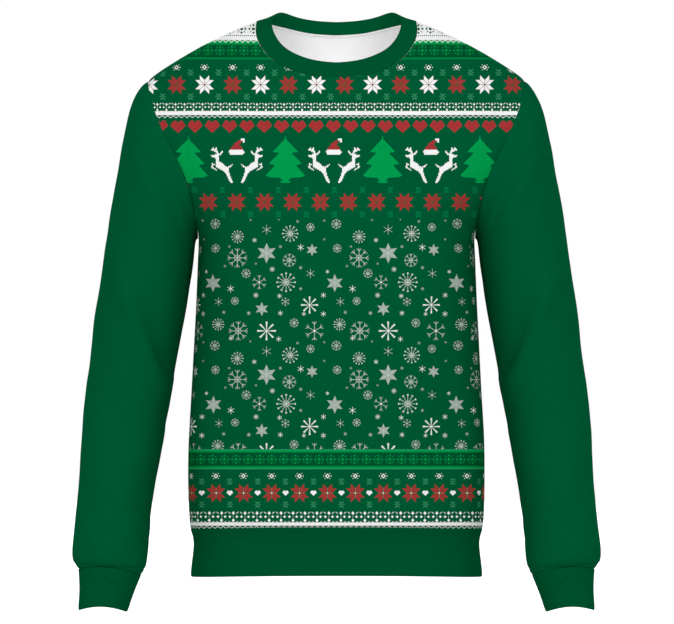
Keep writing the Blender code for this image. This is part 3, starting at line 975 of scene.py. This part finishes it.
def panel_places(points, depths):
    """Place on the flat cloth, in millimetres, of points of the front or the back.

    The cloth that turns back to the side seam adds width, and that which rises over the shoulder
    adds height. The print is cut so that it runs straight across the rounded chest.
    """
    x, y, z = points.T / MM
    depth = np.interp(z, [CHEST, 0], depths[::-1])
    up = np.clip((z - ARMPIT) / (SHOULDER_TIP.z / MM - ARMPIT), 0, 1)
    up = up * up * (3 - 2 * up)
    side = depth * (SIDE_SHARE + (SHOULDER_SHARE - SIDE_SHARE) * up)
    turned = np.clip(1 - np.abs(y) / side, 0, 1)
    gain = SIDE_STRETCH * side * turned**2
    way = np.stack([1 - (1 - SHOULDER_WAY[0]) * up, SHOULDER_WAY[1] * up])
    way /= np.linalg.norm(way, axis=0)
    swell = 1 + np.abs(y) / PRINT_SWELL
    across = x * swell + np.sign(x) * gain * way[0]
    down = (MIDDLE - z) * swell - MIDDLE - gain * way[1]
    return np.stack([across, down], axis=1)


def make_panel(context, node_name, outward, depths, creases, materials):
    """Front or back of the body, cut from one piece of printed cloth."""
    sizes = context.scene.sweater_cloth
    mesh, work = quads_of(node_name)
    keep_outer_skin(work, outward)
    smooth_shoulder_tips(work)
    piece = new_piece(context, mesh, work, sizes.fineness)
    points, normals = points_and_normals(piece.data)
    places = panel_places(points, depths)
    away = edge_distance(piece.data, points)
    folded = crease_rise(points * np.where(points < 0, (-1, 1, 1), 1), creases) * sizes.creases
    angle = np.arctan2(points[:, 0], -points[:, 1])
    above_hem = points[:, 2] - points[:, 2].min()
    folded += gathers(angle, above_hem, *PANEL_GATHERS)
    rise = (folded + waves(points, sizes.unevenness, PANEL_WAVES)) * (1 - fade(away, PANEL_FADE))
    rise -= sizes.seam_depth * fade(away, sizes.seam_width)
    move_points(piece.data, points + normals * rise[:, None])
    unwrap(piece.data, places)
    area = sew_jersey(context, piece, *materials)
    hand_over(piece, node_name)


class SWEATER_OT_panels(bpy.types.Operator):
    """Make the front and the back of printed fleece jersey"""

    bl_idname = "sweater.panels"
    bl_label = "Front and Back"

    def execute(self, context):
        ink = context.scene.sweater_colours
        materials = [printed_jersey(ink), brushed_back(ink)]
        front, back = Vector((0, -1, 0)), Vector((0, 1, 0))
        make_panel(context, "front", front, FRONT_DEPTH, FRONT_CREASES, materials)
        make_panel(context, "back", back, BACK_DEPTH, BACK_CREASES, materials)
        return {"FINISHED"}


# ---------------- sleeves

# Middle line of a sleeve and its cuff
SLEEVE_LINE = table(
    "z x y",
    (-740, 291, -43),
    (-700, 286, -40),
    (-640, 281, -31),
    (-560, 273, -14),
    (-470, 260, 0),
    (-390, 249, 4),
    (-340, 240, 3),
    (-260, 226, 1),
    (-180, 214, 0),
    (-70, 200, 0),
)
CUFF_SEAM = table("x z", (235.4, -689), (330.6, -682))
SLEEVE_ROUND = 330.0  # girth that the knit counts on, in millimetres
SLEEVE_FADE = 8.0 * MM
SLEEVE_GATHERS = (10.0 * MM, 0.6 * MM)
SLEEVE_WAVES = 9.0
BACKWARD_TURN = 1.2  # how fast the back's creases take the place of the front's as the cloth turns
ROLL_PLACE = 5.0 * MM  # the sleeve's end rolls over its seam, under a shallow groove at this distance
ROLL_WIDTH = 2.2 * MM
ROLL_DEPTH = 0.9 * MM
SLEEVE_FRONT_CREASES = table(
    CREASE_NAMES,
    (190, -258, 246, -160, 4, 8, -5.0),
    (186, -262, 226, -176, 2, 6, 3.0),
    (206, -262, 268, -150, 6, 14, 1.4),
    (210, -466, 278, -312, 3, 10, 6.0),
    (203, -448, 246, -348, -4, 14, -5.0),
    (214, -511, 222, -478, 2, 5, -1.8),
    (226, -498, 262, -440, 5, 9, 1.0),
    (230, -626, 254, -596, 3, 6, -2.2),
    (233, -652, 248, -632, 2, 5, -1.6),
    (298, -560, 316, -612, 4, 10, -1.2),
    (318, -640, 300, -668, 4, 6, -1.6),
    (262, -648, 248, -672, 2, 5, -1.4),
    (284, -600, 268, -660, 4, 9, 1.0),
    (226, -300, 200, -352, -4, 9, 1.2),
)
SLEEVE_BACK_CREASES = table(
    CREASE_NAMES,
    (290, -322, 224, -392, 6, 8, -1.7),
    (296, -356, 232, -416, 5, 8, 1.4),
    (298, -388, 238, -450, 5, 8, -1.6),
    (300, -424, 250, -486, 4, 8, 1.1),
    (226, -300, 196, -350, 3, 8, -1.1),
    (244, -140, 212, -236, 8, 9, 1.3),
    (228, -124, 202, -206, 6, 8, -1.3),
    (300, -560, 250, -610, 5, 9, 1.2),
    (310, -596, 262, -640, 5, 8, -1.3),
    (292, -640, 254, -668, 4, 6, 1.0),
)


def round_sleeve(points):
    """Angle round a sleeve, from its outer side, of points that are moved to the wearer's left."""
    heights = SLEEVE_LINE["z"]
    x = np.interp(points[:, 2], heights, SLEEVE_LINE["x"])
    y = np.interp(points[:, 2], heights, SLEEVE_LINE["y"])
    return np.arctan2(points[:, 1] - y, points[:, 0] - x)


def make_sleeve(context, side, facing, materials):
    """Sleeve of one piece of plain cloth, sewn along its underside."""
    sizes = context.scene.sweater_cloth
    node_name = "sleeve_" + side
    mesh, work = quads_of(node_name)
    keep_outer_skin(work, Vector((facing, 0, 0)))
    piece = new_piece(context, mesh, work, sizes.fineness)
    points, normals = points_and_normals(piece.data)
    away = edge_distance(piece.data, points)
    left = points * (facing, 1, 1)
    backward = np.clip(0.5 + BACKWARD_TURN * normals[:, 1], 0, 1)
    folded = (1 - backward) * crease_rise(left, SLEEVE_FRONT_CREASES)
    folded += backward * crease_rise(left, SLEEVE_BACK_CREASES)
    folded *= sizes.creases
    angle = round_sleeve(left)
    above_cuff = left[:, 2] - np.interp(left[:, 0], CUFF_SEAM["x"], CUFF_SEAM["z"])
    folded += gathers(angle, above_cuff, *SLEEVE_GATHERS)
    rise = (folded + waves(points, sizes.unevenness, SLEEVE_WAVES)) * (1 - fade(away, SLEEVE_FADE))
    rise -= ROLL_DEPTH * fade(above_cuff - ROLL_PLACE, ROLL_WIDTH)
    rise -= sizes.seam_depth * fade(away, sizes.seam_width)
    move_points(piece.data, points + normals * rise[:, None])
    turns = round(SLEEVE_ROUND / WALE) * WALE
    unwrap(piece.data, np.stack([angle / math.tau * turns, -points[:, 2] / MM], axis=1), turns)
    area = sew_jersey(context, piece, *materials)
    hand_over(piece, node_name)


class SWEATER_OT_sleeves(bpy.types.Operator):
    """Make both sleeves of plain fleece jersey"""

    bl_idname = "sweater.sleeves"
    bl_label = "Sleeves"

    def execute(self, context):
        ink = context.scene.sweater_colours
        materials = [plain_jersey(ink), brushed_back(ink)]
        make_sleeve(context, "left", 1, materials)
        make_sleeve(context, "right", -1, materials)
        return {"FINISHED"}


# ---------------- neckband, hem and cuffs

# Girth that the knit counts on, in millimetres, and the band's flat cut in metres
NECK_SIZES = (560.0, (0.54, 0.024))
HEM_SIZES = (940.0, (0.9, 0.066))
CUFF_SIZES = (220.0, (0.21, 0.054))
CUFF_CREASES = table(
    CREASE_NAMES,
    (304, -686, 262, -719, -2, 3, -1.3),
    (290, -688, 252, -702, 2, 4, 0.7),
)


def round_body(points):
    """Angle round the body or the neck, from the wearer's left."""
    return np.arctan2(points[:, 1], points[:, 0])


def make_rib(context, node_name, angle_of, girth, flat, rests_on, material, creases=NO_CREASES):
    """Band of rib knit, folded double, with creases on the outside of its front."""
    sizes = context.scene.sweater_cloth
    mesh, work = quads_of(node_name)
    piece = new_piece(context, mesh, work, sizes.fineness + 1)
    points, normals = points_and_normals(piece.data)
    left = points * (-1, 1, 1) if node_name.endswith("right") else points
    turns = round(girth / RIB_PITCH) * RIB_PITCH
    angle = angle_of(left)
    unwrap(piece.data, np.stack([angle / math.tau * turns, -points[:, 2] / MM], axis=1), turns)
    outer_front = np.clip(-2 * normals[:, 1], 0, 1) * (np.sin(angle) < 0)
    rise = crease_rise(left, creases) * outer_front * sizes.creases
    move_points(piece.data, points + normals * rise[:, None])
    piece.data.materials.append(material)
    hand_over(piece, node_name)


class SWEATER_OT_ribs(bpy.types.Operator):
    """Make the neckband, the hem and the cuffs of rib knit"""

    bl_idname = "sweater.ribs"
    bl_label = "Neckband, Hem and Cuffs"

    def execute(self, context):
        material = rib_knit(context.scene.sweater_colours)
        body = ["front", "back"]
        make_rib(context, "neckband", round_body, *NECK_SIZES, body, material)
        make_rib(context, "hem_rib", round_body, *HEM_SIZES, body, material)
        for side in "left", "right":
            sleeve = ["sleeve_" + side]
            make_rib(context, "cuff_" + side, round_sleeve, *CUFF_SIZES, sleeve, material, CUFF_CREASES)
        return {"FINISHED"}


# ---------------- camera, floor and light

FLOOR_DROP = 160 * MM
FLOOR_SIZE = 30.0
FILM_WIDTH = 36.0
CAMERA_ASIDE = 0.6 * MM
VIEW_END = 100.0
LIGHT_SIZE = 2.0
LIGHT_ASIDE, LIGHT_AWAY, LIGHT_HEIGHT = 2.3, 4.1, 1.7
REAR_SHARE = 0.8  # power of a rear light for that of a front one
NECK_LIGHT = (0.1, (0.0, -0.01, -0.14), (0.0, 0.075, -0.03))  # size, place and aim


def floor_material():
    """Plain pale studio floor."""
    material, tree = new_material("studio_floor")
    seen = add(tree, "LightPath").outputs["Is Camera Ray"]
    looks = {"Base Color": linear("#D8D8D8"), "Roughness": 0.9, "Emission Color": linear("#FFFFFF")}
    shader = add(tree, "BsdfPrincipled", {**looks, "Emission Strength": seen})
    add(tree, "OutputMaterial", {0: shader.outputs[0]})
    return material


def soft_light(name, power, size, place, aim):
    """Large soft light that points at a place."""
    lamp = bpy.data.lights.new(name, "AREA")
    lamp.energy = power
    lamp.shape = "DISK"
    lamp.size = size
    light = bpy.data.objects.new(name, lamp)
    light.location = place
    light.rotation_euler = (Vector(aim) - Vector(place)).to_track_quat("-Z", "Y").to_euler()
    light.visible_camera = False
    bpy.context.scene.collection.objects.link(light)


class SWEATER_OT_stage(bpy.types.Operator):
    """Make the floor, the lights and the camera"""

    bl_idname = "sweater.stage"
    bl_label = "Stage"

    def execute(self, context):
        settings = context.scene.sweater_stage
        scene = context.scene
        low = CAD_BOX[0][2] - FLOOR_DROP
        bpy.ops.object.select_all(action="DESELECT")
        bpy.ops.mesh.primitive_plane_add(size=FLOOR_SIZE, location=(0, 0, low))
        floor = context.active_object
        floor.name = "floor"
        bpy.ops.object.transform_apply()
        floor.data.materials.append(floor_material())
        scene.world = scene.world or bpy.data.worlds.new("World")
        scene.world.use_nodes = True
        tree = scene.world.node_tree
        tree.nodes.clear()
        seen = add(tree, "LightPath").outputs["Is Camera Ray"]
        strength = Field(tree, seen) * (1.0 - settings.sky) + settings.sky
        sky = add(tree, "Background", {0: linear("#FFFFFF"), 1: strength})
        add(tree, "OutputWorld", {0: sky.outputs[0]})
        middle = (0.0, 0.0, settings.camera_height)
        for side in -1, 1:
            front = (side * LIGHT_ASIDE, -LIGHT_AWAY, LIGHT_HEIGHT)
            rear = (side * LIGHT_ASIDE, LIGHT_AWAY, LIGHT_HEIGHT)
            soft_light("key", settings.key_power, LIGHT_SIZE, front, middle)
            soft_light("rear", settings.key_power * REAR_SHARE, LIGHT_SIZE, rear, middle)
        soft_light("neck", settings.neck_power, *NECK_LIGHT)
        camera = bpy.data.cameras.new("camera")
        camera.sensor_width = FILM_WIDTH
        camera.lens = FILM_WIDTH * settings.camera_distance / settings.picture_width
        camera.clip_end = VIEW_END
        view = bpy.data.objects.new("camera", camera)
        view.location = (CAMERA_ASIDE, -settings.camera_distance, settings.camera_height)
        view.rotation_euler = (math.radians(90), 0, 0)
        scene.collection.objects.link(view)
        scene.camera = view
        scene.view_settings.view_transform = "Standard"
        return {"FINISHED"}


class SWEATER_PT_panel(bpy.types.Panel):
    """Lists the pieces and their sizes"""

    bl_idname = "SWEATER_PT_panel"
    bl_label = "Christmas Sweater"
    bl_space_type = "VIEW_3D"
    bl_region_type = "UI"
    bl_category = "Sweater"

    def draw(self, context):
        for operator in OPERATORS:
            self.layout.operator(operator.bl_idname)
        for name, group in SETTINGS:
            box = self.layout.box()
            box.label(text=group.__doc__)
            for setting in group.__annotations__:
                box.prop(getattr(context.scene, name), setting)


OPERATORS = (SWEATER_OT_panels, SWEATER_OT_sleeves, SWEATER_OT_ribs, SWEATER_OT_stage)
SETTINGS = (
    ("sweater_cloth", ClothSettings),
    ("sweater_colours", ColourSettings),
    ("sweater_stage", StageSettings),
)
CLASSES = (*(group for _, group in SETTINGS), *OPERATORS, SWEATER_PT_panel)


def register():
    for kind in CLASSES:
        bpy.utils.register_class(kind)
    for name, group in SETTINGS:
        setattr(bpy.types.Scene, name, bpy.props.PointerProperty(type=group))


def unregister():
    for name, group in SETTINGS:
        delattr(bpy.types.Scene, name)
    for kind in reversed(CLASSES):
        bpy.utils.unregister_class(kind)


def main():
    """Make every piece."""
    register()
    bpy.ops.sweater.stage()
    bpy.ops.sweater.panels()
    bpy.ops.sweater.sleeves()
    bpy.ops.sweater.ribs()


if __name__ == "__main__":
    main()
